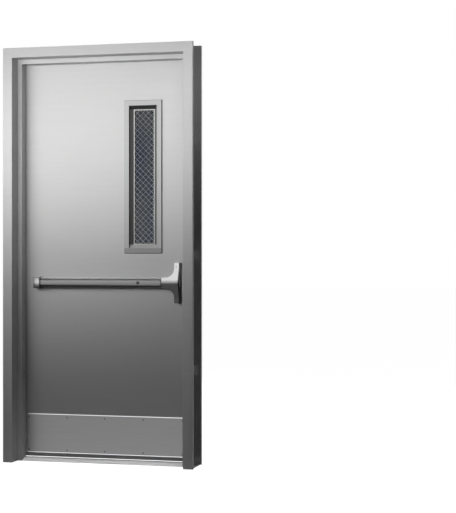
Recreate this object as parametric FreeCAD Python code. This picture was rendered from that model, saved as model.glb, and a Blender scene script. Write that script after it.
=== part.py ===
import FreeCAD, Part
import math
import os

# Steel utility door: a flush hollow-metal leaf in a double-rabbet pressed-steel frame.
# Millimetres, +Z up. The leaf is hung on the left and swings away from the viewer, towards +Y.
# Every piece is drawn from the frame's outer left edge, front face and floor line,
# and save() moves it so that the origin is under the middle of the hinge jamb's floor anchor.

# Frame sizes
FRAME_W = 1016.0
FRAME_H = 2133.6
FRAME_D = 177.8
FACE = 50.8
STOP_W = 54.7
STOP_GAP = 5.05
STOP_H = 24.0
RETURN = 15.9
SHEET = 1.9

# Leaf sizes
LEAF_T = 44.45
SKIN = 1.2
LEAF_GAP = 5.0
UNDERCUT = 6.35
LOCK_BEVEL = 2.8
SEAM = 0.4
CHANNEL_T = 1.5
CHANNEL_DEPTH = 30.0
CORE_GAP = 8.0

# Threshold sizes
SADDLE_H = 12.7
SADDLE_SLOPE = 26.0
SADDLE_WALL = 3.0
SADDLE_LIP = 2.0
FLUTES = 7
FLUTE_W = 3.4
FLUTE_DEPTH = 1.2
FIT = 0.4

# Cutting bodies run this far past the metal, and edges closer than this are one
OVER = 1.0
NEAR = 0.01

# Hinge sizes
HINGE_H = 114.3
LEAF_PLATE = 3.4
LEAF_INSET = 38.0
KNUCKLES = 3
KNUCKLE_R = 6.6
KNUCKLE_GAP = 0.3
PIN_R = 4.0
PIN_RUN = 0.06
PIN_HEAD_R = 5.8
PIN_HEAD_H = 3.0
PIVOT_OUT = 8.0
HINGE_TOP_DROP = 184.0
HINGE_LOW_RISE = 311.0
BACKING_T = 6.3
BACKING_MARGIN = 44.0

# Wall and floor anchor sizes
ANCHOR_T = 2.7
ANCHOR_W = 35.0
ANCHOR_INSET = 6.0
ANCHOR_UPTURN = 40.0
ANCHOR_HOLE_R = 5.0
ANCHOR_HOLES = 100.0
WALL_ANCHOR_H = 50.0
WALL_ANCHOR_LIP = 21.0
WALL_ANCHORS = 3
WALL_ANCHOR_END = 480.0
WALL_HOLE_RISE = 8.0

# Vision lite sizes
LITE_W = 204.0
LITE_FROM_LOCK = 142.2
LITE_DROP = 216.3
LITE_BASE = 1075.5
LITE_FLANGE = 27.5
LITE_RISE = 9.0
LITE_LIP = 2.6
LITE_SLOPE = 18.0
LITE_SHEET = 1.4
CUT_IN = 22.0
GLASS_T = 6.4
TAPE_T = 3.0
TAPE_SHOW = 5.5
TAPE_W = 12.0
GLASS_BITE = 12.0

# Kick plate sizes
KICK_H = 203.2
KICK_T = 1.3
KICK_BEVEL = 0.9
KICK_SIDE = 25.4
KICK_RISE = 19.0

# Exit device sizes
BAR_Z = 926.5
BAR_PROJECTION = 60.0
HOUSING_H = 54.0
HOUSING_T = 1.6
HOUSING_DEPTH = 45.0
HOUSING_SHOULDER = 9.0
HOUSING_BEND = 1.4
PAD_H = 28.4
PAD_SIDE_GAP = 5.0
PAD_BEVEL = 5.0
PAD_SHEET = 2.0
PAD_DEPTH = 36.0
PAD_BEND = 0.6
PAD_END_GAP = 5.4
PAD_TRAVEL = 14.0
GUIDE_R = 3.0
GUIDE_RUN = 0.3
GUIDE_WALL = 2.2
GUIDE_INSET = 90.0
DOG_FROM_CASE = 125.0
DOG_HOLE_R = 4.6
DOG_R = 6.0
DOG_GAP = 6.0
DOG_KEY_R = 3.2
DOG_KEY_DEPTH = 8.0
CAP_LEFT = 130.7
CAP_L = 41.3
CAP_WALL = 3.0
CAP_OVER = 3.0
CAP_LAP = 14.0
CAP_ROUND = 22.0
CAP_NOSE = 14.0
CAP_BEVEL = 10.0
CASE_TO_SOFFIT = 21.2
CASE_L = 89.4
CASE_NECK = 57.4
CASE_NECK_L = 22.0
CASE_H = 207.0
CASE_WING = 29.0
CASE_PROJECTION = 63.0
CASE_FOOT = 27.0
CASE_FOOT_Y = 39.0
CASE_NOSE = 8.0
CASE_NOSE_R = 42.0
CASE_FOOT_R = 30.0
CASE_TIP_R = 7.0
CASE_WALL = 3.0
CASE_SOFT = 3.6
BOLT_H = 38.0
BOLT_D = 20.0
BOLT_OUT = 2.5
BOLT_FROM_LEAF = 17.0
BOLT_FIT = 1.5
BOLT_NOSE = 7.0
BOLT_SLANT = 4.0
BOLT_TAIL = 14.0
CHASSIS_T = 2.5
CHASSIS_SHORT = 21.0
STRIKE_T = 2.6
STRIKE_H = 92.0
STRIKE_LIP = 10.0
STRIKE_LIP_T = 9.0
STRIKE_LIP_H = 56.0
STRIKE_PLATE_W = 46.0
STRIKE_SETBACK = 4.0
STRIKE_BACKING_H = 147.2

# Places worked out from the sizes
ORIGIN_X = ANCHOR_INSET + ANCHOR_W / 2
ORIGIN_Y = FRAME_D / 2
OPEN_L = FACE
OPEN_R = FRAME_W - FACE
SOFFIT_L = OPEN_L + STOP_H
SOFFIT_R = OPEN_R - STOP_H
LEAF_L = OPEN_L + LEAF_GAP
LEAF_R = OPEN_R - LEAF_GAP
LEAF_LOW = SADDLE_H + UNDERCUT
LEAF_TOP = FRAME_H - FACE - LEAF_GAP
PULL_Y = FRAME_D
PUSH_Y = FRAME_D - LEAF_T
MID_Y = PUSH_Y + LEAF_T / 2
STOP_BACK = PUSH_Y - STOP_GAP
FRONT_RABBET = STOP_BACK - STOP_W
PIVOT_X = OPEN_L + LEAF_GAP / 2
PIVOT_Y = FRAME_D + PIVOT_OUT
HINGE_LOW = HINGE_LOW_RISE
HINGE_TOP = FRAME_H - FACE - HINGE_TOP_DROP
HINGE_MID = (HINGE_LOW + HINGE_TOP) / 2
HINGE_PLACES = (("low", HINGE_LOW), ("mid", HINGE_MID), ("top", HINGE_TOP))
LITE_RIGHT = LEAF_R - LITE_FROM_LOCK
LITE_LEFT = LITE_RIGHT - LITE_W
LITE_TOP = LEAF_TOP - LITE_DROP
GLASS_FRONT = MID_Y - GLASS_T / 2
GLASS_BACK = MID_Y + GLASS_T / 2
BAR_FRONT = PUSH_Y - BAR_PROJECTION
CASE_RIGHT = SOFFIT_R - CASE_TO_SOFFIT
CASE_LEFT = CASE_RIGHT - CASE_L
HOUSING_L = CAP_LEFT + CAP_L - CAP_LAP
HOUSING_R = CASE_LEFT + CASE_WALL
PAD_L = CAP_LEFT + CAP_L + PAD_END_GAP
PAD_R = CASE_LEFT - PAD_END_GAP
DOG_X = CASE_LEFT - DOG_FROM_CASE


def vec(x, y, z=0.0):
    return FreeCAD.Vector(x, y, z)


def box(x0, x1, y0, y1, z0, z1):
    return Part.makeBox(x1 - x0, y1 - y0, z1 - z0, vec(x0, y0, z0))


def rod(radius, start, end):
    axis = end - start
    return Part.makeCylinder(radius, axis.Length, start, axis)


def face_of(points):
    return Part.Face(Part.makePolygon(points + [points[0]]))


def prism(points, along):
    return face_of(points).extrude(along)


def side_line(path, offset):
    # the path moved sideways by offset, with its corners kept sharp
    moved = []
    for index, point in enumerate(path):
        normals = []
        if index > 0:
            step = (point - path[index - 1]).normalize()
            normals.append(vec(-step.y, step.x))
        if index < len(path) - 1:
            step = (path[index + 1] - point).normalize()
            normals.append(vec(-step.y, step.x))
        if len(normals) == 1:
            moved.append(point + normals[0] * offset)
        else:
            mean = normals[0] + normals[1]
            moved.append(point + mean * (offset * 2 / mean.dot(mean)))
    return moved


def rounded(path, radii):
    # straight runs joined by tangent arcs of the given radii; a radius of 0 keeps a corner sharp
    edges = []
    last = path[0]
    for index in range(1, len(path) - 1):
        corner = path[index]
        if radii[index] == 0:
            edges.append(Part.makeLine(last, corner))
            last = corner
            continue
        back = (path[index - 1] - corner).normalize()
        ahead = (path[index + 1] - corner).normalize()
        half = back.getAngle(ahead) / 2
        reach = radii[index] / math.tan(half)
        start = corner + back * reach
        end = corner + ahead * reach
        inward = (back + ahead).normalize()
        middle = corner + inward * (radii[index] / math.sin(half) - radii[index])
        edges.append(Part.makeLine(last, start))
        edges.append(Part.Arc(start, middle, end).toShape())
        last = end
    edges.append(Part.makeLine(last, path[-1]))
    return edges


def bent_sheet(points, thickness, inner_radius=0.0):
    # section of a folded sheet: one side follows the points and the body lies to its left
    path = [vec(x, y) for x, y in points]
    inner = side_line(path, thickness)
    outer_radius = inner_radius + thickness
    outer_radii = [0.0]
    inner_radii = [0.0]
    for index in range(1, len(path) - 1):
        turn = (path[index] - path[index - 1]).cross(path[index + 1] - path[index]).z
        outer_radii.append(outer_radius if turn > 0 else inner_radius)
        inner_radii.append(inner_radius if turn > 0 else outer_radius)
    edges = rounded(path, outer_radii)
    edges.append(Part.makeLine(path[-1], inner[-1]))
    edges.extend(rounded(inner, inner_radii))
    edges.append(Part.makeLine(inner[0], path[0]))
    return Part.Face(Part.Wire(Part.__sortEdges__(edges)))


def upright(face, z0, z1):
    # a plan section in X and Y raised between two heights
    part = face.extrude(vec(0, 0, z1 - z0))
    part.translate(vec(0, 0, z0))
    return part


def along_x(face, x0, x1):
    # a section drawn as (Y, Z) run along X
    part = face.extrude(vec(0, 0, x1 - x0))
    part.rotate(vec(0, 0, 0), vec(1, 1, 1), 120)
    part.translate(vec(x0, 0, 0))
    return part


def mirrored(shape, x):
    return shape.mirror(vec(x, 0, 0), vec(1, 0, 0))


def save(name, shape):
    shape.translate(vec(-ORIGIN_X, -ORIGIN_Y, 0))
    shape.exportStep("parts/" + name + ".step")


def frame_section(edge):
    # one side's folded section, measured inwards from the frame's outer edge
    points = [
        (edge, RETURN),
        (edge, 0.0),
        (edge + FACE, 0.0),
        (edge + FACE, FRONT_RABBET),
        (edge + FACE + STOP_H, FRONT_RABBET),
        (edge + FACE + STOP_H, STOP_BACK),
        (edge + FACE, STOP_BACK),
        (edge + FACE, FRAME_D),
        (edge, FRAME_D),
        (edge, FRAME_D - RETURN),
    ]
    return bent_sheet(points, SHEET)


def mitre_prism(points):
    # a prism through the frame's depth, drawn on its front face
    corners = [vec(x, -OVER, z) for x, z in points]
    return prism(corners, vec(0, FRAME_D + 2 * OVER, 0))


def hinge_cut(z, x0, x1):
    # pocket for one hinge leaf, open at the rear face
    y0 = FRAME_D - LEAF_INSET - FIT
    half = HINGE_H / 2 + FIT
    return box(x0, x1, y0, FRAME_D + OVER, z - half, z + half)


def make_jamb():
    jamb = upright(frame_section(0.0), 0.0, FRAME_H)
    corners = [(-OVER, -OVER), (FRAME_W, -OVER), (FRAME_W, FRAME_H - FRAME_W), (-OVER, FRAME_H + OVER)]
    keep = mitre_prism(corners)
    return jamb.common(keep)


def make_frame():
    jamb = make_jamb()
    strike_jamb = mirrored(jamb, FRAME_W / 2)
    for name, z in HINGE_PLACES:
        jamb = jamb.cut(hinge_cut(z, OPEN_L - LEAF_PLATE, OPEN_L + OVER))
    head = frame_section(0.0).extrude(vec(0, 0, FRAME_W))
    head.rotate(vec(0, 0, 0), vec(0, 1, 0), 90)
    head.translate(vec(0, 0, FRAME_H))
    middle = FRAME_W / 2
    keep = mitre_prism([(0, FRAME_H), (FRAME_W, FRAME_H), (middle, FRAME_H - middle)])
    save("hinge_jamb", jamb)
    save("strike_jamb", strike_jamb)
    save("frame_head", head.common(keep))


def make_backings():
    # thick plates behind the hinge pockets of the jamb and of the leaf's edge
    y0 = STOP_BACK + FIT
    y1 = FRAME_D - SHEET - ANCHOR_T - FIT
    frame_plates = []
    leaf_plates = []
    for name, z in HINGE_PLACES:
        half = HINGE_H / 2 + BACKING_MARGIN
        back = OPEN_L - SHEET
        plate = box(back - BACKING_T, back, y0, y1, z - half, z + half)
        frame_plates.append(plate.cut(hinge_cut(z, OPEN_L - LEAF_PLATE, OPEN_L)))
        front = LEAF_L + SKIN
        plate = box(front, front + BACKING_T, PUSH_Y + SKIN, PULL_Y - SKIN, z - half, z + half)
        leaf_plates.append(plate.cut(hinge_cut(z, LEAF_L, LEAF_L + LEAF_PLATE)))
    save("hinge_backings_frame", Part.makeCompound(frame_plates))
    save("hinge_backings_leaf", Part.makeCompound(leaf_plates))


def hinge_leaf(z, side, knuckles):
    # side is -1 for the leaf in the frame and 1 for the leaf in the door's edge
    low = z - HINGE_H / 2
    inner = PIVOT_X + side * LEAF_GAP / 2
    outer = inner + side * LEAF_PLATE
    leaf = box(min(inner, outer), max(inner, outer), FRAME_D - LEAF_INSET, PIVOT_Y, low, low + HINGE_H)
    pitch = HINGE_H / KNUCKLES
    for index in range(KNUCKLES):
        start = vec(PIVOT_X, PIVOT_Y, low + index * pitch)
        if index % 2 == knuckles:
            gap = vec(0, 0, KNUCKLE_GAP / 2)
            leaf = leaf.fuse(rod(KNUCKLE_R, start + gap, start + vec(0, 0, pitch) - gap))
        else:
            leaf = leaf.cut(rod(KNUCKLE_R + FIT, start, start + vec(0, 0, pitch)))
    start = vec(PIVOT_X, PIVOT_Y, low - OVER)
    bore = rod(PIN_R + PIN_RUN, start, start + vec(0, 0, HINGE_H + 2 * OVER))
    return leaf.cut(bore).removeSplitter()


def hinge_pin(z):
    low = z - HINGE_H / 2
    top = low + HINGE_H
    pin = rod(PIN_R, vec(PIVOT_X, PIVOT_Y, low - PIN_RUN), vec(PIVOT_X, PIVOT_Y, top + PIN_RUN))
    head = rod(PIN_HEAD_R, vec(PIVOT_X, PIVOT_Y, top + PIN_RUN), vec(PIVOT_X, PIVOT_Y, top + PIN_HEAD_H))
    foot = rod(PIN_HEAD_R, vec(PIVOT_X, PIVOT_Y, low - PIN_HEAD_H), vec(PIVOT_X, PIVOT_Y, low - PIN_RUN))
    return pin.fuse([head, foot])


def make_hinges():
    for name, z in HINGE_PLACES:
        save("hinge_" + name + "_frame_leaf", hinge_leaf(z, -1, 0))
        save("hinge_" + name + "_door_leaf", hinge_leaf(z, 1, 1))
        save("hinge_" + name + "_pin", hinge_pin(z))


def floor_anchor():
    # a folded clip between the two faces, its underside on the floor
    section = bent_sheet(
        [
            (SHEET, ANCHOR_UPTURN),
            (SHEET, 0.0),
            (FRAME_D - SHEET, 0.0),
            (FRAME_D - SHEET, ANCHOR_UPTURN),
        ],
        ANCHOR_T,
    )
    clip = along_x(section, ANCHOR_INSET, ANCHOR_INSET + ANCHOR_W)
    for side in (-1, 1):
        foot = vec(ORIGIN_X, ORIGIN_Y + side * ANCHOR_HOLES / 2, -OVER)
        clip = clip.cut(rod(ANCHOR_HOLE_R, foot, foot + vec(0, 0, ANCHOR_T + 2 * OVER)))
    return clip


def wall_anchor(z, turned):
    # a folded strap across the throat, its web facing the wall; turned end for end it fits the other jamb
    web = ANCHOR_INSET + ANCHOR_W
    lip = web - WALL_ANCHOR_LIP
    hole_z = z + turned * WALL_HOLE_RISE
    section = bent_sheet(
        [
            (lip, SHEET),
            (web, SHEET),
            (web, FRAME_D - SHEET),
            (lip, FRAME_D - SHEET),
        ],
        ANCHOR_T,
    )
    strap = upright(section, z - WALL_ANCHOR_H / 2, z + WALL_ANCHOR_H / 2)
    for side in (-1, 1):
        hole = vec(web - ANCHOR_T - OVER, ORIGIN_Y + side * ANCHOR_HOLES / 2, hole_z)
        strap = strap.cut(rod(ANCHOR_HOLE_R, hole, hole + vec(ANCHOR_T + 2 * OVER, 0, 0)))
    return strap


def wall_anchor_row(turned):
    pitch = (FRAME_H - 2 * WALL_ANCHOR_END) / (WALL_ANCHORS - 1)
    heights = [WALL_ANCHOR_END + i * pitch for i in range(WALL_ANCHORS)]
    return Part.makeCompound([wall_anchor(z, turned) for z in heights])


def make_anchors():
    clip = floor_anchor()
    save("floor_anchor_strike", mirrored(clip, FRAME_W / 2))
    save("floor_anchor_hinge", clip)
    save("wall_anchors_strike", mirrored(wall_anchor_row(-1), FRAME_W / 2))
    save("wall_anchors_hinge", wall_anchor_row(1))


def make_threshold():
    # extruded saddle: sloped sides, fluted top, hollow below on two legs
    front = FRONT_RABBET + SHEET + FIT
    back = FRAME_D
    top_l = front + SADDLE_SLOPE
    top_r = back - SADDLE_SLOPE
    outline = [
        (front, 0.0),
        (back, 0.0),
        (back, SADDLE_LIP),
        (top_r, SADDLE_H),
        (top_l, SADDLE_H),
        (front, SADDLE_LIP),
    ]
    section = Part.Face(Part.makePolygon([vec(y, z) for y, z in outline + [outline[0]]]))
    pitch = (top_r - top_l) / FLUTES
    for index in range(FLUTES):
        middle = top_l + pitch * (index + 0.5)
        flute = Part.makePlane(FLUTE_W, FLUTE_DEPTH + OVER, vec(middle - FLUTE_W / 2, SADDLE_H - FLUTE_DEPTH))
        section = section.cut(flute)
    rib = (top_l + top_r) / 2
    roof = SADDLE_H - FLUTE_DEPTH - SADDLE_WALL
    for y0, y1 in ((top_l, rib - SADDLE_WALL / 2), (rib + SADDLE_WALL / 2, top_r)):
        section = section.cut(Part.makePlane(y1 - y0, roof + OVER, vec(y0, -OVER)))
    saddle = along_x(section.Faces[0], OPEN_L + FIT, OPEN_R - FIT)
    for x0, x1 in ((OPEN_L, SOFFIT_L + FIT), (SOFFIT_R - FIT, OPEN_R)):
        saddle = saddle.cut(box(x0, x1, 0, STOP_BACK + FIT, -OVER, SADDLE_H + OVER))
    save("threshold", saddle)


def lock_x(y):
    # the lock edge leans back towards the push face
    return LEAF_R - LOCK_BEVEL * (PULL_Y - y) / LEAF_T


def lite_hole(y0, y1):
    return box(
        LITE_LEFT + CUT_IN,
        LITE_RIGHT - CUT_IN,
        y0,
        y1,
        LITE_BASE + CUT_IN,
        LITE_TOP - CUT_IN,
    )


def leaf_skin(edge_y, face_y):
    section = [(LEAF_L, edge_y), (LEAF_L, face_y), (lock_x(face_y), face_y), (lock_x(edge_y), edge_y)]
    if face_y > edge_y:
        section.reverse()
    skin = upright(bent_sheet(section, SKIN), LEAF_LOW, LEAF_TOP)
    skin = skin.cut(lite_hole(PUSH_Y - OVER, PULL_Y + OVER))
    for name, z in HINGE_PLACES:
        skin = skin.cut(hinge_cut(z, LEAF_L - OVER, LEAF_L + LEAF_PLATE))
    return skin


def end_channel(web_z, lip_z):
    # a folded channel that closes one end of the leaf between its skins
    y0 = PUSH_Y + SKIN
    y1 = PULL_Y - SKIN
    points = [(y0, lip_z), (y0, web_z), (y1, web_z), (y1, lip_z)]
    if web_z > lip_z:
        points.reverse()
    start = LEAF_L + SKIN + FIT
    end = SKIN + FIT
    channel = along_x(bent_sheet(points, CHANNEL_T), start, LEAF_R)
    slant = [
        vec(start, PUSH_Y, LEAF_LOW),
        vec(lock_x(PUSH_Y) - end, PUSH_Y, LEAF_LOW),
        vec(lock_x(PULL_Y) - end, PULL_Y, LEAF_LOW),
        vec(start, PULL_Y, LEAF_LOW),
    ]
    return channel.common(prism(slant, vec(0, 0, LEAF_TOP - LEAF_LOW)))


def make_leaf():
    seam_low = MID_Y - SEAM / 2
    seam_high = MID_Y + SEAM / 2
    save("push_skin", leaf_skin(seam_low, PUSH_Y))
    save("pull_skin", leaf_skin(seam_high, PULL_Y))
    save("top_channel", end_channel(LEAF_TOP - CHANNEL_T, LEAF_TOP - CHANNEL_DEPTH))
    save("bottom_channel", end_channel(LEAF_LOW + CHANNEL_DEPTH, LEAF_LOW + CHANNEL_T))
    core = box(
        LEAF_L + SKIN + BACKING_T,
        lock_x(PUSH_Y) - SKIN - CORE_GAP,
        PUSH_Y + SKIN,
        PULL_Y - SKIN,
        LEAF_LOW + CHANNEL_DEPTH,
        LEAF_TOP - CHANNEL_DEPTH,
    )
    save("door_core", core.cut(lite_hole(PUSH_Y, PULL_Y)))


def ring_shell(points):
    # a closed section of (inset, Y) points carried round the lite with mitred corners
    rings = []
    for inset, y in points:
        x0 = LITE_LEFT + inset
        x1 = LITE_RIGHT - inset
        z0 = LITE_BASE + inset
        z1 = LITE_TOP - inset
        rings.append([vec(x0, y, z0), vec(x1, y, z0), vec(x1, y, z1), vec(x0, y, z1)])
    faces = []
    for index, ring in enumerate(rings):
        after = rings[(index + 1) % len(rings)]
        for side in range(4):
            other = (side + 1) % 4
            faces.append(face_of([ring[side], ring[other], after[other], after[side]]))
    solid = Part.makeSolid(Part.makeShell(faces))
    if solid.Volume < 0:
        solid.reverse()
    return solid


def lite_section(face_y, side, tape_y):
    # the glazing frame's folded section: outer lip, flat flange, slope to the tape, flat seat
    crown = face_y + side * LITE_RISE
    tip = LITE_FLANGE + LITE_SLOPE
    outer = [
        (0.0, face_y),
        (LITE_LIP, crown),
        (LITE_FLANGE, crown),
        (tip, tape_y),
    ]
    inner = [
        (tip - LITE_SHEET * 2, tape_y),
        (LITE_FLANGE - LITE_SHEET, crown - side * LITE_SHEET),
        (LITE_LIP + LITE_SHEET, crown - side * LITE_SHEET),
        (LITE_SHEET, face_y),
    ]
    return outer + inner


def make_lite():
    tape_in = LITE_FLANGE + LITE_SLOPE + TAPE_SHOW
    tape_out = tape_in - TAPE_W
    save("lite_frame_push", ring_shell(lite_section(PUSH_Y, -1, GLASS_FRONT - TAPE_T)))
    save("lite_frame_pull", ring_shell(lite_section(PULL_Y, 1, GLASS_BACK + TAPE_T)))
    for name, y0, y1 in (
        ("glazing_tape_push", GLASS_FRONT - TAPE_T, GLASS_FRONT),
        ("glazing_tape_pull", GLASS_BACK, GLASS_BACK + TAPE_T),
    ):
        save(name, ring_shell([(tape_out, y0), (tape_in, y0), (tape_in, y1), (tape_out, y1)]))
    inset = tape_in - GLASS_BITE
    pane = box(
        LITE_LEFT + inset,
        LITE_RIGHT - inset,
        GLASS_FRONT,
        GLASS_BACK,
        LITE_BASE + inset,
        LITE_TOP - inset,
    )
    save("wired_glass", pane)


def make_kick_plate():
    # a thin plate with its four front edges bevelled
    x0 = LEAF_L + KICK_SIDE
    x1 = LEAF_R - KICK_SIDE
    z0 = LEAF_LOW + KICK_RISE
    z1 = z0 + KICK_H
    plate = box(x0, x1, PUSH_Y - KICK_T, PUSH_Y, z0, z1)
    rim = [edge for edge in plate.Edges if edge.BoundBox.YMax < PUSH_Y - KICK_T + NEAR]
    save("kick_plate", plate.makeChamfer(KICK_BEVEL, rim))


def make_housing():
    # roll-formed rail: web on the leaf, bevelled shoulders, open mouth for the pad
    half = HOUSING_H / 2
    mouth = PAD_H / 2 + PAD_SIDE_GAP + HOUSING_T
    lip = PUSH_Y - HOUSING_DEPTH
    shoulder = lip + HOUSING_SHOULDER
    section = bent_sheet(
        [
            (lip, BAR_Z - mouth),
            (shoulder, BAR_Z - half),
            (PUSH_Y, BAR_Z - half),
            (PUSH_Y, BAR_Z + half),
            (shoulder, BAR_Z + half),
            (lip, BAR_Z + mouth),
        ],
        HOUSING_T,
        HOUSING_BEND,
    )
    save("bar_housing", along_x(section, HOUSING_L, HOUSING_R))


def guide_places():
    return (PAD_L + GUIDE_INSET, PAD_R - GUIDE_INSET)


def make_pad():
    # extruded touch pad: bevelled nose, open back, two bushes that run on the guide pins
    half = PAD_H / 2
    nose = half - PAD_BEVEL
    back = BAR_FRONT + PAD_DEPTH
    section = bent_sheet(
        [
            (back, BAR_Z + half),
            (BAR_FRONT + PAD_BEVEL, BAR_Z + half),
            (BAR_FRONT, BAR_Z + nose),
            (BAR_FRONT, BAR_Z - nose),
            (BAR_FRONT + PAD_BEVEL, BAR_Z - half),
            (back, BAR_Z - half),
        ],
        PAD_SHEET,
        PAD_BEND,
    )
    pad = along_x(section, PAD_L, PAD_R)
    pins = []
    for x in guide_places():
        root = vec(x, BAR_FRONT + PAD_SHEET / 2, BAR_Z)
        tip = vec(x, back, BAR_Z)
        pad = pad.fuse(rod(GUIDE_R + GUIDE_RUN + GUIDE_WALL, root, tip))
        mouth = root + vec(0, PAD_SHEET / 2, 0)
        pad = pad.cut(rod(GUIDE_R + GUIDE_RUN, mouth, tip + vec(0, OVER, 0)))
        base = vec(x, PUSH_Y - HOUSING_T, BAR_Z)
        end = vec(x, BAR_FRONT + PAD_SHEET + PAD_TRAVEL + GUIDE_R, BAR_Z)
        pins.append(rod(GUIDE_R, end, base))
    front = vec(DOG_X, BAR_FRONT - OVER, BAR_Z)
    pad = pad.cut(rod(DOG_HOLE_R, front, front + vec(0, PAD_SHEET + 2 * OVER, 0)))
    save("touch_pad", pad)
    save("pad_guide_pins", Part.makeCompound(pins))
    near = vec(DOG_X, BAR_FRONT + PAD_SHEET + PAD_TRAVEL + DOG_GAP, BAR_Z)
    barrel = rod(DOG_R, near, vec(DOG_X, PUSH_Y - HOUSING_T, BAR_Z))
    hexagon = []
    for corner in range(6):
        angle = corner * math.pi / 3
        hexagon.append(near + vec(DOG_KEY_R * math.cos(angle), 0, DOG_KEY_R * math.sin(angle)))
    save("dogging_socket", barrel.cut(prism(hexagon, vec(0, DOG_KEY_DEPTH, 0))))


def closed_face(path, radii):
    edges = rounded(path, radii)
    edges.append(Part.makeLine(path[-1], path[0]))
    return Part.Face(Part.Wire(edges))


def cap_form(inset):
    # the end cap's outside, or its inside when inset by the wall: round in plan, bevelled in side view
    half = HOUSING_H / 2 + CAP_OVER - inset
    left = CAP_LEFT + inset
    right = CAP_LEFT + CAP_L
    front = BAR_FRONT + inset
    back = PUSH_Y + inset
    plan = closed_face(
        [vec(right, back), vec(right, front), vec(left, front), vec(left, back)],
        [0, 0, CAP_ROUND - inset, 0],
    )
    form = upright(plan, BAR_Z - half, BAR_Z + half)
    nose = half - CAP_BEVEL
    side = [
        vec(left, back, BAR_Z - half),
        vec(left, front + CAP_NOSE, BAR_Z - half),
        vec(left, front, BAR_Z - nose),
        vec(left, front, BAR_Z + nose),
        vec(left, front + CAP_NOSE, BAR_Z + half),
        vec(left, back, BAR_Z + half),
    ]
    return form.common(prism(side, vec(CAP_L, 0, 0)))


def make_end_cap():
    half = HOUSING_H / 2 + FIT
    front = PUSH_Y - HOUSING_DEPTH - FIT
    right = CAP_LEFT + CAP_L + OVER
    slot = box(HOUSING_L - FIT, right, front, PUSH_Y + OVER, BAR_Z - half, BAR_Z + half)
    save("bar_end_cap", cap_form(0.0).cut(cap_form(CAP_WALL)).cut(slot))


def case_outline(inset):
    # the cover's front view: a neck that flares in two quarter rounds into an upright wing
    neck = CASE_NECK / 2 - inset
    tall = CASE_H / 2 - inset
    left = CASE_LEFT - inset
    wing = CASE_RIGHT - CASE_WING + inset
    right = CASE_RIGHT - inset
    flare = CASE_L - CASE_NECK_L - CASE_WING + inset
    tip = CASE_TIP_R - inset
    path = [
        vec(right, 0, BAR_Z - tall),
        vec(wing, 0, BAR_Z - tall),
        vec(wing, 0, BAR_Z - neck),
        vec(left, 0, BAR_Z - neck),
        vec(left, 0, BAR_Z + neck),
        vec(wing, 0, BAR_Z + neck),
        vec(wing, 0, BAR_Z + tall),
        vec(right, 0, BAR_Z + tall),
    ]
    return closed_face(path, [0, tip, flare, 0, 0, flare, tip, 0])


def case_side(inset):
    # the cover's side view: a rounded nose at the bar, slopes, and a flat foot at each end of the wing
    high = PUSH_Y - CASE_PROJECTION + inset
    low = PUSH_Y - CASE_FOOT_Y + inset
    back = PUSH_Y + inset
    reach = CASE_H / 2 + OVER
    foot = CASE_H / 2 - CASE_FOOT
    nose = CASE_NOSE
    path = [
        vec(0, back, BAR_Z - reach),
        vec(0, low, BAR_Z - reach),
        vec(0, low, BAR_Z - foot),
        vec(0, high, BAR_Z - nose),
        vec(0, high, BAR_Z + nose),
        vec(0, low, BAR_Z + foot),
        vec(0, low, BAR_Z + reach),
        vec(0, back, BAR_Z + reach),
    ]
    hollow = CASE_FOOT_R + inset
    crest = CASE_NOSE_R - inset
    return closed_face(path, [0, 0, hollow, crest, crest, hollow, 0, 0])


def case_form(inset):
    front = case_outline(inset).extrude(vec(0, PUSH_Y + inset, 0))
    side = case_side(inset).extrude(vec(FRAME_W, 0, 0))
    return front.common(side)


def rim_edges(form):
    # edges where the cover's front meets a wall that runs straight back, apart from the end at the bar
    rim = []
    for edge in form.Edges:
        middle = edge.valueAt((edge.FirstParameter + edge.LastParameter) / 2)
        behind = Part.Vertex(middle + vec(0, OVER, 0))
        limits = edge.BoundBox
        across = limits.XLength + limits.ZLength
        on_wall = form.Shells[0].distToShape(behind)[0] < NEAR
        if on_wall and across > NEAR and limits.XMax > CASE_LEFT + NEAR:
            rim.append(edge)
    return rim


def bolt_box(grow):
    y1 = PUSH_Y - BOLT_FROM_LEAF + grow
    y0 = y1 - BOLT_D - 2 * grow
    half = BOLT_H / 2 + grow
    return y0, y1, BAR_Z - half, BAR_Z + half


def make_latch_case():
    outside = case_form(0.0)
    cover = outside.makeFillet(CASE_SOFT, rim_edges(outside)).cut(case_form(CASE_WALL))
    half = HOUSING_H / 2 + FIT
    y0 = PUSH_Y - HOUSING_DEPTH - FIT
    cover = cover.cut(box(CASE_LEFT - OVER, HOUSING_R + FIT, y0, PUSH_Y + OVER, BAR_Z - half, BAR_Z + half))
    y0, y1, z0, z1 = bolt_box(BOLT_FIT)
    cover = cover.cut(box(CASE_RIGHT - CASE_WALL - OVER, CASE_RIGHT + OVER, y0, y1, z0, z1))
    save("latch_case_cover", cover)


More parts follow.
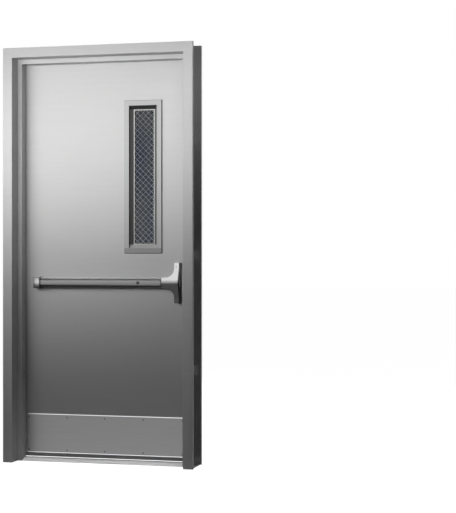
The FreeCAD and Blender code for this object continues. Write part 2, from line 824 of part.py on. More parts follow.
def make_latch():
    # chassis plate with two ears, and the bolt held between them
    y0, y1, z0, z1 = bolt_box(0.0)
    x0 = CASE_RIGHT - CASE_WING - BOLT_TAIL
    x1 = CASE_RIGHT - CASE_WALL - FIT
    base = CASE_RIGHT - CASE_WING + CASE_WALL + FIT
    reach = CASE_H / 2 - CHASSIS_SHORT
    plate = box(base, x1, PUSH_Y - CHASSIS_T, PUSH_Y, BAR_Z - reach, BAR_Z + reach)
    for side in (-1, 1):
        near = BAR_Z + side * (BOLT_H / 2 + FIT)
        far = near + side * CHASSIS_T
        plate = plate.fuse(box(x0, x1, y0, PUSH_Y, min(near, far), max(near, far)))
    save("latch_chassis", plate.removeSplitter())
    tip = CASE_RIGHT + BOLT_OUT
    points = [
        vec(x0, y0, z0),
        vec(tip, y0, z0),
        vec(tip, y0 + BOLT_NOSE, z0),
        vec(x1 - BOLT_SLANT, y1, z0),
        vec(x0, y1, z0),
    ]
    save("latch_bolt", prism(points, vec(0, 0, z1 - z0)))


def make_strike():
    # keeper plate on the strike jamb's soffit, its lip ahead of the bolt's path
    y1 = STOP_BACK - STRIKE_SETBACK
    y0 = y1 - STRIKE_PLATE_W
    plate = box(SOFFIT_R - STRIKE_T, SOFFIT_R, y0, y1, BAR_Z - STRIKE_H / 2, BAR_Z + STRIKE_H / 2)
    low = BAR_Z - STRIKE_LIP_H / 2
    lip = [
        vec(SOFFIT_R, y1, low),
        vec(SOFFIT_R - STRIKE_LIP / 2, y1, low),
        vec(SOFFIT_R - STRIKE_LIP, y1 - STRIKE_LIP_T / 2, low),
        vec(SOFFIT_R - STRIKE_LIP, y1 - STRIKE_LIP_T, low),
        vec(SOFFIT_R, y1 - STRIKE_LIP_T, low),
    ]
    strike = plate.fuse(prism(lip, vec(0, 0, STRIKE_LIP_H))).removeSplitter()
    save("rim_strike", strike)
    inside = SOFFIT_R + SHEET
    y0 = FRONT_RABBET + SHEET + FIT
    y1 = STOP_BACK - SHEET - FIT
    half = STRIKE_BACKING_H / 2
    save("strike_backing", box(inside, inside + BACKING_T / 2, y0, y1, BAR_Z - half, BAR_Z + half))


os.makedirs("parts", exist_ok=True)
make_frame()
make_backings()
make_hinges()
make_anchors()
make_threshold()
make_leaf()
make_lite()
make_kick_plate()
make_housing()
make_pad()
make_end_cap()
make_latch_case()
make_latch()
make_strike()
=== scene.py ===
import math

import bmesh
import bpy
from mathutils import Matrix, Vector


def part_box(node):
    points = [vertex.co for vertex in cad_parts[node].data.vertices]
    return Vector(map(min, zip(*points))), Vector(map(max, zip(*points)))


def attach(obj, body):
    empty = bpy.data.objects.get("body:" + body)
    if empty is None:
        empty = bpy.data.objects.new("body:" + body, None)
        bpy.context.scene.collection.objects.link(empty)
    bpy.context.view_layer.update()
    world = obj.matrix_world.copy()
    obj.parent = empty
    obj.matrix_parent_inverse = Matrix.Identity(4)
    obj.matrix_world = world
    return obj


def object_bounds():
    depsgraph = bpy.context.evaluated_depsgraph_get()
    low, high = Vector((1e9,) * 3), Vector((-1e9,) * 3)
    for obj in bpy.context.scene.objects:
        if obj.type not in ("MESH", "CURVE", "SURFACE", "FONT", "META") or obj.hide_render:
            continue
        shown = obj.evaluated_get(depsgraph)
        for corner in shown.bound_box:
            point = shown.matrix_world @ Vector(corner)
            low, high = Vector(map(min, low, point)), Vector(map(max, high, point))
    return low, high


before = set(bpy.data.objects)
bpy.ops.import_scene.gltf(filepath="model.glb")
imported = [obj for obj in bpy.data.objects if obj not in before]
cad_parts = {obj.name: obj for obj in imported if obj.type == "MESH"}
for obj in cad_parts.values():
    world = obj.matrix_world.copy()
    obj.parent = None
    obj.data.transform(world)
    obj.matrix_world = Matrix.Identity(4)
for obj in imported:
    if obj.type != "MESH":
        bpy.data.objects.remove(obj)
CAD_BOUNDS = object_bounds()

bl_info = {
    "name": "Steel Utility Door",
    "version": (1, 0, 0),
    "blender": (4, 5, 0),
    "location": "View3D > Sidebar > Steel Door",
    "description": "Finishes, screws, wired glass and studio for a steel utility door",
    "category": "Object",
}

# Nodes that share a finish
FRAME_NODES = ("hinge_jamb", "strike_jamb", "frame_head")
LEAF_NODES = ("push_skin", "pull_skin")
TAPE_NODES = ("glazing_tape_push", "glazing_tape_pull")
ANCHOR_NODES = (
    "floor_anchor_hinge",
    "floor_anchor_strike",
    "wall_anchors_hinge",
    "wall_anchors_strike",
    "hinge_backings_frame",
    "hinge_backings_leaf",
    "strike_backing",
    "top_channel",
    "bottom_channel",
)
LATCH_NODES = ("latch_bolt", "latch_chassis", "rim_strike", "pad_guide_pins")
HINGES = ("low", "mid", "top")

# Colours of the small parts
GALVANISED = (0.45, 0.45, 0.455)
ALUMINIUM = (0.80, 0.80, 0.805)
BROWN_BOARD = (0.42, 0.33, 0.21)
PALE_TAPE = (0.42, 0.42, 0.405)
SCREW_STEEL = (0.09, 0.09, 0.092)
WIRE_STEEL = (0.85, 0.85, 0.85)
LATCH_STEEL = (0.40, 0.40, 0.41)
HINGE_STEEL = (0.50, 0.50, 0.50)
SOCKET_PAINTED_SHADE = (0.006, 0.006, 0.006)
CLEAR_GLASS = (0.93, 0.96, 0.94, 1.0)
# Cool and warm patches in the painted shade inside the glass
COOL_PATCH = (0.45, 0.55, 0.90)
WARM_PATCH = (1.50, 1.42, 1.22)
WHITE = (1.0, 1.0, 1.0, 1.0)
FLOOR_GREY = (0.30, 0.30, 0.30, 1.0)

# The rail and the pad are the kick plate's steel, brighter by these factors, which paint light on
# them above their middle; below it they carry painted shade
RAIL_LEVEL = 3.6
PAD_LEVEL = 1.3

# Each casting's brightness, and its painted shade below a line near its middle: how far over its
# middle the line lies, how softly it turns dark and how dark
CASTINGS = (
    ("bar_end_cap", 0.72, -0.008, 0.006, 0.25),
    ("latch_case_cover", 1.0, 0.006, 0.014, 0.07),
)

# Distances by which finishes and screws are laid out on the solids
LITE_FLANGE = 0.0275
LITE_SLOPE = 0.018
LITE_LIP = 0.003
HINGE_PLATE = 0.038
HINGE_FACE = 0.0025
KNUCKLE_RADIUS = 0.0066
STRIKE_PLATE = 0.0026

# How far the middle of a screw head stands out, from domed to sunk
DOMED_RISE = 0.0012
LITE_RISE = 0.0005
FLUSH_RISE = 0.0004
THRESHOLD_RISE = 0.0003

# Grain that is the same in all directions
EVEN = (1.0, 1.0, 1.0)

# Each lamp's place, the point it shines at, its size and its spread;
# places are measured from the frame's outer left edge, front face and floor line
LAMPS = (
    ("key", (-0.744, -1.663, 1.428), (-0.161, 0.13, 1.695), (3.342, 0.589), 0.615),
    ("side", (-0.752, -1.830, 1.865), (0.049, 0.13, 1.572), (1.722, 1.125), 1.093),
    ("fill", (0.587, -3.941, 1.842), (0.556, 0.13, 1.969), (1.236, 0.993), 0.666),
    ("top", (0.498, -0.501, 2.389), (0.484, 0.13, -0.700), (1.013, 0.128), 0.218),
    ("corner", (1.5, -1.0, 2.6), (1.0, 0.17, 1.9), (0.3, 0.3), 0.6),
    ("back", (1.9, 4.0, 2.4), (0.5, 0.13, 1.1), (2.0, 2.0), math.pi),
)

FLOOR_REACH = 40.0
FLOOR_GLOW = 0.99


class DoorFinishes(bpy.types.PropertyGroup):
    """Colours of the door's surfaces"""

    enamel: bpy.props.FloatVectorProperty(
        name="Frame enamel",
        description="Colour of the pressed-steel frame",
        subtype="COLOR",
        size=3,
        min=0.0,
        max=1.0,
        default=(0.47, 0.47, 0.47),
    )
    leaf_enamel: bpy.props.FloatVectorProperty(
        name="Leaf enamel",
        description="Colour of the leaf and of its glazing frames",
        subtype="COLOR",
        size=3,
        min=0.0,
        max=1.0,
        default=(0.47, 0.47, 0.47),
    )
    stainless: bpy.props.FloatVectorProperty(
        name="Stainless steel",
        description="Colour of the kick plate, from which the bar takes its own",
        subtype="COLOR",
        size=3,
        min=0.0,
        max=1.0,
        default=(0.22, 0.22, 0.222),
    )
    silver: bpy.props.FloatVectorProperty(
        name="Silver casting",
        description="Colour of the latch case and the end cap",
        subtype="COLOR",
        size=3,
        min=0.0,
        max=1.0,
        default=(0.85, 0.85, 0.85),
    )
    # Painted shade: the colour of the dark sheet inside the pane, which darkens what is seen
    # through the glass
    glass_tint: bpy.props.FloatVectorProperty(
        name="Glass tint",
        description="Light that the dark pane lets through",
        subtype="COLOR",
        size=3,
        min=0.0,
        max=1.0,
        default=(0.215, 0.222, 0.24),
    )


class DoorDetails(bpy.types.PropertyGroup):
    """Sizes of the screws and of the wire in the glass"""

    wire_pitch: bpy.props.FloatProperty(
        name="Wire pitch",
        description="Distance between neighbouring wires, measured square to them",
        unit="LENGTH",
        default=0.0212,
        min=0.004,
    )
    wire_radius: bpy.props.FloatProperty(
        name="Wire radius",
        description="Half the thickness of one wire",
        unit="LENGTH",
        default=0.0008,
        min=0.0001,
    )
    kick_screws: bpy.props.IntProperty(
        name="Kick plate screws",
        description="Screws in each of the kick plate's two rows",
        default=5,
        min=2,
    )
    screw_radius: bpy.props.FloatProperty(
        name="Screw head radius",
        description="Radius of the screw heads on the kick plate, threshold and hinges",
        unit="LENGTH",
        default=0.0046,
        min=0.001,
    )
    small_screw_radius: bpy.props.FloatProperty(
        name="Small screw head radius",
        description="Radius of the screw heads on the glazing frame and the exit device",
        unit="LENGTH",
        default=0.0036,
        min=0.001,
    )


class DoorStage(bpy.types.PropertyGroup):
    """Camera place and lamp strengths"""

    camera_place: bpy.props.FloatVectorProperty(
        name="Camera place",
        description="From the frame's outer left edge, front face and floor line",
        subtype="XYZ",
        unit="LENGTH",
        size=3,
        default=(2.8687, -6.6010, 1.0605),
    )
    camera_turn: bpy.props.FloatProperty(
        name="Camera turn",
        description="How far the camera looks to the left of straight on",
        subtype="ANGLE",
        default=0.248,
    )
    camera_lens: bpy.props.FloatProperty(
        name="Lens",
        description="Focal length in millimetres on a 36 mm sensor",
        default=96.7,
        min=10.0,
    )
    key_power: bpy.props.FloatProperty(
        name="Key lamp",
        description="Power of the long low lamp in front, on the left",
        default=2.39,
        min=0.0,
    )
    side_power: bpy.props.FloatProperty(
        name="Side lamp",
        description="Power of the broad lamp above the key lamp",
        default=6.95,
        min=0.0,
    )
    fill_power: bpy.props.FloatProperty(
        name="Fill lamp",
        description="Power of the lamp far in front, level with the upper leaf",
        default=5.45,
        min=0.0,
    )
    top_power: bpy.props.FloatProperty(
        name="Top lamp",
        description="Power of the strip above the head that shines down in front of the leaf",
        default=0.66,
        min=0.0,
    )
    back_power: bpy.props.FloatProperty(
        name="Back lamp",
        description="Power of the wide lamp on the pull side",
        default=120.0,
        min=0.0,
    )
    corner_power: bpy.props.FloatProperty(
        name="Corner lamp",
        description="Power of the small lamp that shines into the strike jamb's throat",
        default=0.17,
        min=0.0,
    )
    ambient: bpy.props.FloatProperty(
        name="Ambient level",
        description="Strength of the world's light on dull surfaces",
        default=0.005,
        min=0.0,
    )


def put_material(names, material):
    for name in names:
        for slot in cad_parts[name].material_slots:
            slot.material = material


def blank_material(name):
    """A material with one plain surface shader."""
    material = bpy.data.materials.new(name)
    material.use_nodes = True
    tree = material.node_tree
    return material, tree, tree.nodes["Principled BSDF"]


def bare_material(name):
    """A material whose nodes are all still to be made."""
    material = bpy.data.materials.new(name)
    material.use_nodes = True
    material.node_tree.nodes.clear()
    return material, material.node_tree


def shader_of(material):
    return material.node_tree.nodes["Principled BSDF"]


def object_grain(tree, stretch, scale, detail=4.0):
    """Noise laid in the part's own space, stretched along one or more axes."""
    coordinates = tree.nodes.new("ShaderNodeTexCoord")
    mapping = tree.nodes.new("ShaderNodeMapping")
    mapping.inputs["Scale"].default_value = stretch
    noise = tree.nodes.new("ShaderNodeTexNoise")
    noise.inputs["Scale"].default_value = scale
    noise.inputs["Detail"].default_value = detail
    tree.links.new(coordinates.outputs["Object"], mapping.inputs["Vector"])
    tree.links.new(mapping.outputs["Vector"], noise.inputs["Vector"])
    return noise.outputs["Fac"]


def levelled(colour, level):
    return [level * part for part in colour]


def colour_between(tree, first, second, field):
    """The first colour where the field is 0 and the second where it is 1."""
    mix = tree.nodes.new("ShaderNodeMix")
    mix.data_type = "RGBA"
    mix.inputs["A"].default_value = list(first) + [1.0]
    mix.inputs["B"].default_value = list(second) + [1.0]
    tree.links.new(field, mix.inputs["Factor"])
    return mix.outputs["Result"]


def vary_colour(tree, shader, colour, spread, field):
    dark = levelled(colour, 1.0 - spread)
    pale = [min(1.0, part) for part in levelled(colour, 1.0 + spread)]
    tree.links.new(colour_between(tree, dark, pale, field), shader.inputs["Base Color"])


def vary_roughness(tree, shader, low, high, field):
    """Roughness from low to high over the middle of the noise's range."""
    spread = tree.nodes.new("ShaderNodeMapRange")
    spread.inputs["From Min"].default_value = 0.3
    spread.inputs["From Max"].default_value = 0.7
    spread.inputs["To Min"].default_value = low
    spread.inputs["To Max"].default_value = high
    tree.links.new(field, spread.inputs["Value"])
    tree.links.new(spread.outputs["Result"], shader.inputs["Roughness"])


def scale_colour(material, field):
    """Multiplies the material's colour by a field of values."""
    tree = material.node_tree
    colour = shader_of(material).inputs["Base Color"]
    scaled = tree.nodes.new("ShaderNodeMix")
    scaled.data_type = "RGBA"
    scaled.blend_type = "MULTIPLY"
    scaled.inputs["Factor"].default_value = 1.0
    tree.links.new(colour.links[0].from_socket, scaled.inputs["A"])
    tree.links.new(field, scaled.inputs["B"])
    tree.links.new(scaled.outputs["Result"], colour)


def scale_border(material, piece, inset, inner, outer):
    """Multiplies the colour by one factor inside an upright border and by another on it."""
    tree = material.node_tree
    soft = 0.0004
    corners = [Vector(corner) for corner in piece.bound_box]
    low, high = corners[0], corners[6]
    coordinates = tree.nodes.new("ShaderNodeTexCoord")
    centred = tree.nodes.new("ShaderNodeVectorMath")
    centred.operation = "SUBTRACT"
    centred.inputs[1].default_value = (low + high) / 2
    folded = tree.nodes.new("ShaderNodeVectorMath")
    folded.operation = "ABSOLUTE"
    beyond = tree.nodes.new("ShaderNodeVectorMath")
    beyond.operation = "SUBTRACT"
    beyond.inputs[1].default_value = (high - low) / 2 - Vector((inset, inset, inset))
    parts = tree.nodes.new("ShaderNodeSeparateXYZ")
    farthest = tree.nodes.new("ShaderNodeMath")
    farthest.operation = "MAXIMUM"
    factor = tree.nodes.new("ShaderNodeMapRange")
    factor.inputs["From Min"].default_value = -soft
    factor.inputs["From Max"].default_value = soft
    factor.inputs["To Min"].default_value = inner
    factor.inputs["To Max"].default_value = outer
    tree.links.new(coordinates.outputs["Object"], centred.inputs[0])
    tree.links.new(centred.outputs["Vector"], folded.inputs[0])
    tree.links.new(folded.outputs["Vector"], beyond.inputs[0])
    tree.links.new(beyond.outputs["Vector"], parts.inputs["Vector"])
    tree.links.new(parts.outputs["X"], farthest.inputs[0])
    tree.links.new(parts.outputs["Z"], farthest.inputs[1])
    tree.links.new(farthest.outputs["Value"], factor.inputs["Value"])
    scale_colour(material, factor.outputs["Result"])
    return factor.outputs["Result"]


def step_field(material, axis, place, reach, before, after):
    """A value that changes softly where one of the piece's own axes passes a place."""
    tree = material.node_tree
    coordinates = tree.nodes.new("ShaderNodeTexCoord")
    parts = tree.nodes.new("ShaderNodeSeparateXYZ")
    field = tree.nodes.new("ShaderNodeMapRange")
    field.interpolation_type = "SMOOTHSTEP"
    field.inputs["From Min"].default_value = place - reach
    field.inputs["From Max"].default_value = place + reach
    field.inputs["To Min"].default_value = before
    field.inputs["To Max"].default_value = after
    tree.links.new(coordinates.outputs["Object"], parts.inputs["Vector"])
    tree.links.new(parts.outputs[axis], field.inputs["Value"])
    return field.outputs["Result"]


def spot_field(material, centre, radius, inside):
    """A value that drops inside a round spot seen along the piece's own y axis."""
    tree = material.node_tree
    blur = 0.2
    coordinates = tree.nodes.new("ShaderNodeTexCoord")
    away = tree.nodes.new("ShaderNodeVectorMath")
    away.operation = "SUBTRACT"
    away.inputs[1].default_value = centre
    flat = tree.nodes.new("ShaderNodeVectorMath")
    flat.operation = "MULTIPLY"
    flat.inputs[1].default_value = (1.0, 0.0, 1.0)
    reach = tree.nodes.new("ShaderNodeVectorMath")
    reach.operation = "LENGTH"
    field = tree.nodes.new("ShaderNodeMapRange")
    field.inputs["From Min"].default_value = radius * (1.0 - blur)
    field.inputs["From Max"].default_value = radius * (1.0 + blur)
    field.inputs["To Min"].default_value = inside
    field.inputs["To Max"].default_value = 1.0
    tree.links.new(coordinates.outputs["Object"], away.inputs[0])
    tree.links.new(away.outputs["Vector"], flat.inputs[0])
    tree.links.new(flat.outputs["Vector"], reach.inputs[0])
    tree.links.new(reach.outputs["Value"], field.inputs["Value"])
    return field.outputs["Result"]


def product(material, first, second):
    tree = material.node_tree
    node = tree.nodes.new("ShaderNodeMath")
    node.operation = "MULTIPLY"
    tree.links.new(first, node.inputs[0])
    tree.links.new(second, node.inputs[1])
    return node.outputs["Value"]


def end_from(material, field, end, value):
    """Lets one end of a field, To Min or To Max, follow another field's value."""
    material.node_tree.links.new(value, field.node.inputs[end])


def middle_height(piece):
    corners = [Vector(corner) for corner in piece.bound_box]
    return (corners[0].z + corners[6].z) / 2


def add_bump(tree, shader, field, distance):
    bump = tree.nodes.new("ShaderNodeBump")
    bump.inputs["Strength"].default_value = 0.5
    bump.inputs["Distance"].default_value = distance
    tree.links.new(field, bump.inputs["Height"])
    tree.links.new(bump.outputs["Normal"], shader.inputs["Normal"])


def enamel_material(name, colour):
    """Satin enamel on rolled sheet: faint level streaks and a fine spray texture."""
    material, tree, shader = blank_material(name)
    streaks = object_grain(tree, (0.5, 0.5, 6.0), scale=9.0, detail=6.0)
    vary_colour(tree, shader, colour, spread=0.04, field=streaks)
    vary_roughness(tree, shader, low=0.38, high=0.48, field=streaks)
    spray = object_grain(tree, EVEN, scale=700.0, detail=2.0)
    add_bump(tree, shader, spray, distance=0.00008)
    shader.inputs["Specular IOR Level"].default_value = 0.2
    return material


def brushed_material(name, colour, stretch, low, high, metallic=1.0):
    """Bare metal with brushing marks that run along the least stretched axis."""
    material, tree, shader = blank_material(name)
    marks = object_grain(tree, stretch, scale=6.0, detail=8.0)
    vary_colour(tree, shader, colour, spread=0.10, field=marks)
    vary_roughness(tree, shader, low, high, marks)
    add_bump(tree, shader, marks, distance=0.00005)
    shader.inputs["Metallic"].default_value = metallic
    return material


def cast_material(name, colour):
    """Silver enamel over a sand casting: soft gloss with a fine pebbled skin."""
    material, tree, shader = blank_material(name)
    pebble = object_grain(tree, EVEN, scale=420.0, detail=3.0)
    clouds = object_grain(tree, EVEN, scale=30.0)
    vary_colour(tree, shader, colour, spread=0.05, field=clouds)
    vary_roughness(tree, shader, low=0.30, high=0.42, field=pebble)
    add_bump(tree, shader, pebble, distance=0.00015)
    shader.inputs["Metallic"].default_value = 0.5
    return material


def dull_material(name, colour, low, high, scale):
    """Foam, board and unpolished steel: matt, with a grain of the given scale."""
    material, tree, shader = blank_material(name)
    grain = object_grain(tree, EVEN, scale)
    vary_colour(tree, shader, colour, spread=0.12, field=grain)
    vary_roughness(tree, shader, low, high, grain)
    add_bump(tree, shader, grain, distance=0.0003)
    return material


def glass_material(name):
    """Clear sheet glass: see-through, with a reflection that grows towards the edge."""
    material, tree = bare_material(name)
    clear = tree.nodes.new("ShaderNodeBsdfTransparent")
    clear.inputs["Color"].default_value = CLEAR_GLASS
    shine = tree.nodes.new("ShaderNodeBsdfGlossy")
    shine.inputs["Roughness"].default_value = 0.04
    waves = tree.nodes.new("ShaderNodeBump")
    waves.inputs["Strength"].default_value = 0.2
    waves.inputs["Distance"].default_value = 0.0004
    ripple = object_grain(tree, EVEN, scale=18.0, detail=1.0)
    tree.links.new(ripple, waves.inputs["Height"])
    tree.links.new(waves.outputs["Normal"], shine.inputs["Normal"])
    rim = tree.nodes.new("ShaderNodeFresnel")
    rim.inputs["IOR"].default_value = 1.3
    mix = tree.nodes.new("ShaderNodeMixShader")
    output = tree.nodes.new("ShaderNodeOutputMaterial")
    tree.links.new(rim.outputs["Fac"], mix.inputs["Fac"])
    tree.links.new(clear.outputs["BSDF"], mix.inputs[1])
    tree.links.new(shine.outputs["BSDF"], mix.inputs[2])
    tree.links.new(mix.outputs["Shader"], output.inputs["Surface"])
    return material


def painted_shade_sheet_material(name, colour):
    """The dark sheet inside the pane: painted shade on what is seen through the glass, with cool
    and warm patches.
    """
    material, tree = bare_material(name)
    dark = tree.nodes.new("ShaderNodeBsdfTransparent")
    cool = [part * patch for part, patch in zip(colour, COOL_PATCH)]
    warm = [part * patch for part, patch in zip(colour, WARM_PATCH)]
    patches = object_grain(tree, (1.0, 1.0, 0.5), scale=11.0)
    output = tree.nodes.new("ShaderNodeOutputMaterial")
    tree.links.new(colour_between(tree, cool, warm, patches), dark.inputs["Color"])
    tree.links.new(dark.outputs["BSDF"], output.inputs["Surface"])
    return material


def new_piece(name, mesh_builder, material, body, smooth=True):
    """Makes one object from a bmesh, dresses it and lets it ride on a body."""
    shape = bmesh.new()
    mesh_builder(shape)
    mesh = bpy.data.meshes.new(name)
    shape.to_mesh(mesh)
    shape.free()
    if smooth:
        mesh.shade_smooth()
    mesh.materials.append(material)
    piece = bpy.data.objects.new(name, mesh)
    bpy.context.scene.collection.objects.link(piece)
    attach(piece, body)
    return piece


def add_screw(shape, place, normal, radius, rise, turn):
    """One oval head with a cross recess, its dome standing along the normal."""
    rings = 5
    sides = 24
    centre_dip = radius * 0.35
    recess_dip = centre_dip * 0.6
    recess_reach = 0.62
    recess_arm = 0.72
    aim = Vector(normal).to_track_quat("Z", "Y").to_matrix() @ Matrix.Rotation(turn, 3, "Z")
    centre = Vector(place)

    def point(step, side):
        angle = math.tau * side / sides
        share = step / rings
        height = rise * (1.0 - share ** 2)
        across_arm = abs(math.sin(2.0 * angle)) ** 0.5
        if share < recess_reach and across_arm < recess_arm:
            height -= recess_dip
        reach = radius * step / rings
        return centre + aim @ Vector((reach * math.cos(angle), reach * math.sin(angle), height))

    hub = shape.verts.new(centre + aim @ Vector((0.0, 0.0, rise - centre_dip)))
    inner = None
    for step in range(1, rings + 1):
        ring = [shape.verts.new(point(step, side)) for side in range(sides)]
        for side in range(sides):
            after = (side + 1) % sides
            if inner is None:
                shape.faces.new((hub, ring[side], ring[after]))
            else:
                shape.faces.new((inner[side], ring[side], ring[after], inner[after]))
        inner = ring


def skin_at(name, x, z):
    """Where a ray from the push side meets a part, and the way its skin faces there."""
    start = (x, -1.0, z)
    hit, place, normal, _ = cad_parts[name].ray_cast(start, (0.0, 1.0, 0.0))
    if not hit:
        raise RuntimeError("no skin on " + name)
    return place, normal


def screw_group(name, places, normals, radius, body, rise):
    """One object with a screw at each place; the normal is shared or one for each."""
    if not isinstance(normals, list):
        normals = [normals] * len(places)
    steel = brushed_material("screw_steel", SCREW_STEEL, (60.0, 60.0, 60.0), low=0.28, high=0.45)
    turn = 0.7

    def build(shape):
        for number, (place, normal) in enumerate(zip(places, normals)):
            add_screw(shape, place, normal, radius, rise, turn * number)

    return new_piece(name, build, steel, body)


def spaced(start, end, count):
    """Places with equal steps between a start and an end."""
    if count == 1:
        return [(start + end) / 2]
    return [start + (end - start) * number / (count - 1) for number in range(count)]


class STEELDOOR_OT_finish_frame(bpy.types.Operator):
    """Enamels the jambs and head and finishes the anchors in their throats"""

    bl_idname = "steeldoor.finish_frame"
    bl_label = "Finish Frame"

    def execute(self, context):
        enamel = enamel_material("frame_enamel", context.scene.steeldoor_finishes.enamel)
        # Painted shade and light on the outer side face of the strike jamb, and of the head's end
        # that shares it: darker towards the front, lighter towards the back.
        low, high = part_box("strike_jamb")
        outer_skin = high[0] - 0.0006
        outer_side_light_and_shade = step_field(enamel, "X", outer_skin, 0.0003, before=1.0, after=1.0)
        middle = (low[1] + high[1]) / 2
        painted_light_and_shade = step_field(enamel, "Y", middle, 0.02, before=0.45, after=1.6)
        end_from(enamel, outer_side_light_and_shade, "To Max", painted_light_and_shade)
        scale_colour(enamel, outer_side_light_and_shade)
        put_material(FRAME_NODES, enamel)
        galvanised = brushed_material(
            "galvanised_steel", GALVANISED, (30.0, 30.0, 30.0), low=0.45, high=0.60, metallic=0.2
        )
        put_material(ANCHOR_NODES, galvanised)
        return {"FINISHED"}


class STEELDOOR_OT_finish_threshold(bpy.types.Operator):
    """Finishes the extruded threshold and sets its screws"""

    bl_idname = "steeldoor.finish_threshold"
    bl_label = "Finish Threshold"

    def execute(self, context):
        details = context.scene.steeldoor_details
        aluminium = brushed_material(
            "threshold_aluminium", ALUMINIUM, (2.0, 120.0, 120.0), low=0.60, high=0.75, metallic=0.0
        )
        shader_of(aluminium).inputs["Specular IOR Level"].default_value = 0.1
        # Painted shade on the threshold's top under the leaf: its colour drops to 0.12 of itself
        # there.
        soft = 0.004
        under_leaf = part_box("push_skin")[0][1] + soft
        shade = step_field(aluminium, "Y", under_leaf, soft, before=1.0, after=0.12)
        scale_colour(aluminium, shade)
        put_material(("threshold",), aluminium)
        low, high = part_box("threshold")
        middle = (low[1] + high[1]) / 2
        inset = 0.06
        sunk = 0.0004
        columns = spaced(low[0] + inset, high[0] - inset, 4)
        places = [(x, middle, high[2] - sunk) for x in columns]
        screw_group(
            "threshold_screws", places, (0, 0, 1), details.screw_radius,
            "frame", THRESHOLD_RISE,
        )
        return {"FINISHED"}


class STEELDOOR_OT_finish_leaf(bpy.types.Operator):
    """Enamels the leaf's skins and finishes its core"""

    bl_idname = "steeldoor.finish_leaf"
    bl_label = "Finish Leaf"

    def execute(self, context):
        enamel = enamel_material("leaf_enamel", context.scene.steeldoor_finishes.leaf_enamel)
        # Painted shade on the skins below the kick plate's foot: half as bright there.
        plate_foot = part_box("kick_plate")[0][2]
        scale_colour(enamel, step_field(enamel, "Z", plate_foot, 0.002, before=0.5, after=1.0))
        put_material(LEAF_NODES, enamel)
        board = dull_material("kraft_core", BROWN_BOARD, low=0.8, high=0.95, scale=60.0)
        put_material(("door_core",), board)
        return {"FINISHED"}


class STEELDOOR_OT_finish_kick_plate(bpy.types.Operator):
    """Brushes the kick plate, paints highlights along its long edges and sets its two rows of
    screws
    """

    bl_idname = "steeldoor.finish_kick_plate"
    bl_label = "Finish Kick Plate"

    def execute(self, context):
        finishes = context.scene.steeldoor_finishes
        details = context.scene.steeldoor_details
        steel = brushed_material(
            "kick_plate_steel", finishes.stainless, (0.9, 26.0, 26.0), low=0.34, high=0.46
        )
        put_material(("kick_plate",), steel)
        low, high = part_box("kick_plate")
        # Painted highlight: the colour is 4.2 times brighter within a few millimetres of the top
        # and bottom edges.
        rim = 0.004
        painted_highlight = 4.2
        soft = 0.0004
        top_edge, foot_edge = high[2] - rim, low[2] + rim
        scale_colour(steel, step_field(steel, "Z", top_edge, soft, before=1.0, after=painted_highlight))
        scale_colour(steel, step_field(steel, "Z", foot_edge, soft, before=painted_highlight, after=1.0))
        side, foot, top = 0.010, 0.016, 0.018
        reach = 0.207
        middle = (low[0] + high[0]) / 2
        columns = [low[0] + side, high[0] - side]
        columns += spaced(middle - reach, middle + reach, details.kick_screws - 2)
        rows = (low[2] + foot, high[2] - top)
        places = [(x, low[1], z) for z in rows for x in columns]
        screw_group(
            "kick_plate_screws", places, (0, -1, 0), details.screw_radius,
            "leaf", DOMED_RISE,
        )
        return {"FINISHED"}


class STEELDOOR_OT_finish_lite(bpy.types.Operator):
    """Finishes the glazing frames, tape and glass and sets the pull side's screws"""

    bl_idname = "steeldoor.finish_lite"
    bl_label = "Finish Vision Lite"

    def execute(self, context):
        finishes = context.scene.steeldoor_finishes
        details = context.scene.steeldoor_details
        pull = enamel_material("pull_lite_enamel", finishes.leaf_enamel)
        # Painted shade on the pull side's glazing frame: half as bright inside its flange, where it
        # turns in towards the glass.
        scale_border(pull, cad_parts["lite_frame_pull"], LITE_FLANGE, inner=0.5, outer=1.0)
        put_material(("lite_frame_pull",), pull)
        push = enamel_material("push_lite_enamel", finishes.leaf_enamel)
        shade_push_frame(push)
        put_material(("lite_frame_push",), push)
        tape = dull_material("pale_tape", PALE_TAPE, low=0.7, high=0.9, scale=300.0)
        put_material(TAPE_NODES, tape)
        put_material(("wired_glass",), glass_material("clear_glass"))
        low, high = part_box("lite_frame_pull")
        inset = 0.015
        end = 0.06
        rows = spaced(low[2] + end, high[2] - end, 4)
        places = [(x, high[1], z) for x in (low[0] + inset, high[0] - inset) for z in rows]
        middle = (low[0] + high[0]) / 2
        places += [(middle, high[1], z) for z in (low[2] + inset, high[2] - inset)]
        screw_group(
            "lite_screws", places, (0, 1, 0), details.small_screw_radius,
            "leaf", LITE_RISE,
        )
        return {"FINISHED"}


def shade_push_frame(material):
    """Paints shade on the push side's glazing frame where it turns in towards the glass, along its
    outer edges and on its bottom flange; the sill is painted lighter than the other slopes.
    """
    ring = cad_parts["lite_frame_push"]
    low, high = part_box("lite_frame_push")
    foot = low[2] + LITE_FLANGE
    # Painted shade: the bottom flange at 0.55 of the colour, the rest of the frame at 0.82.
    scale_colour(material, step_field(material, "Z", foot, 0.002, before=0.55, after=0.82))
    # Painted shade on the outer side walls, at a quarter of the colour.
    scale_border(material, ring, LITE_LIP, inner=1.0, outer=0.25)
    # Painted light and shade on the slopes: lighter on the sill, darker on the other sides, darkest
    # under the top and along the left.
    slopes = scale_border(material, ring, LITE_FLANGE, inner=1.0, outer=1.0)
    soft = 0.003
    sill_place = foot + LITE_SLOPE
    soffit_place = high[2] - LITE_FLANGE - LITE_SLOPE
    corner_place = low[0] + LITE_FLANGE + 0.005
    sill = step_field(material, "Z", sill_place, soft, before=1.2, after=0.3)
    soffit = step_field(material, "Z", soffit_place, soft, before=1.0, after=0.2)
    corner = step_field(material, "X", corner_place, 0.001, before=0.25, after=1.0)
    painted_light_and_shade = product(material, product(material, sill, soffit), corner)
    end_from(material, slopes, "To Min", painted_light_and_shade)


